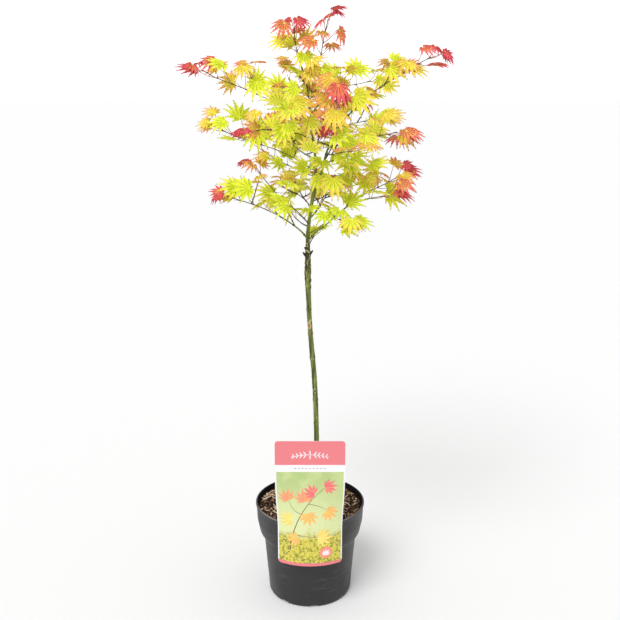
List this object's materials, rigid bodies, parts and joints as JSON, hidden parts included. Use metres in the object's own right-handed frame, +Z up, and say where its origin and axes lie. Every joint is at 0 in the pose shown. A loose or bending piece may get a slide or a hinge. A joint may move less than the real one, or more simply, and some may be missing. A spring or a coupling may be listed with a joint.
{
  "type": "potted full moon maple",
  "caption": "Young potted full moon maple: slim leaning stem forking into an open crown of lime, yellow and coral-red star leaves, in a black nursery pot with a picture card.",
  "frame": {"origin": "middle of the pot's flat underside", "axes": "+Z up along the pot's axis, -Y towards the picture card at the front, +X to the right seen from the front"},
  "size_m": [0.4289, 0.441, 0.9896],
  "materials": {
    "pot": "satin",
    "soil": "matte",
    "card": "gloss",
    "bark": "matte",
    "lime": "matte",
    "amber": "matte",
    "red": "matte"
  },
  "bodies": {
    "root": {"pot": "pot", "soil": "soil", "picture_card": "card", "trunk": "bark", "leader_left": "bark", "leader_right": "bark", "low_left": "bark", "low_left_upper": "bark", "low_right": "bark", "low_right_lower": "bark", "low_front": "bark", "mid_left_thin": "bark", "mid_left": "bark", "mid_front": "bark", "mid_right": "bark", "fork_right": "bark", "centre_front": "bark", "up_left": "bark", "top_right": "bark", "back_right": "bark", "back_mid": "bark", "back_low": "bark", "back_left": "bark", "back_mid_left": "bark", "back_up": "bark", "front_left": "bark", "front_right": "bark", "up_left_spray": "amber", "up_right_spray": "amber", "top_left_spray": "amber", "top_right_spray": "red", "mid_left_spray": "lime", "low_left_spray": "amber", "low_left_red_spray": "red", "mid_front_spray": "amber", "mid_right_spray": "amber", "low_right_spray": "amber", "low_right_lower_spray": "amber", "centre_front_spray": "red", "low_front_spray": "lime", "mid_left_thin_spray": "amber", "right_star_spray": "red", "right_top_spray": "lime", "up_front_spray": "lime", "up_back_spray": "amber", "back_mid_spray": "lime", "fork_right_spray": "lime", "short_right_spray": "lime", "centre_low_spray": "lime", "low_left_inner_spray": "lime", "trunk_spray": "lime", "front_left_spray": "lime", "front_right_spray": "lime", "back_low_spray": "amber", "back_left_spray": "amber", "back_mid_left_spray": "amber", "back_up_spray": "amber"}
  },
  "joints": []
}
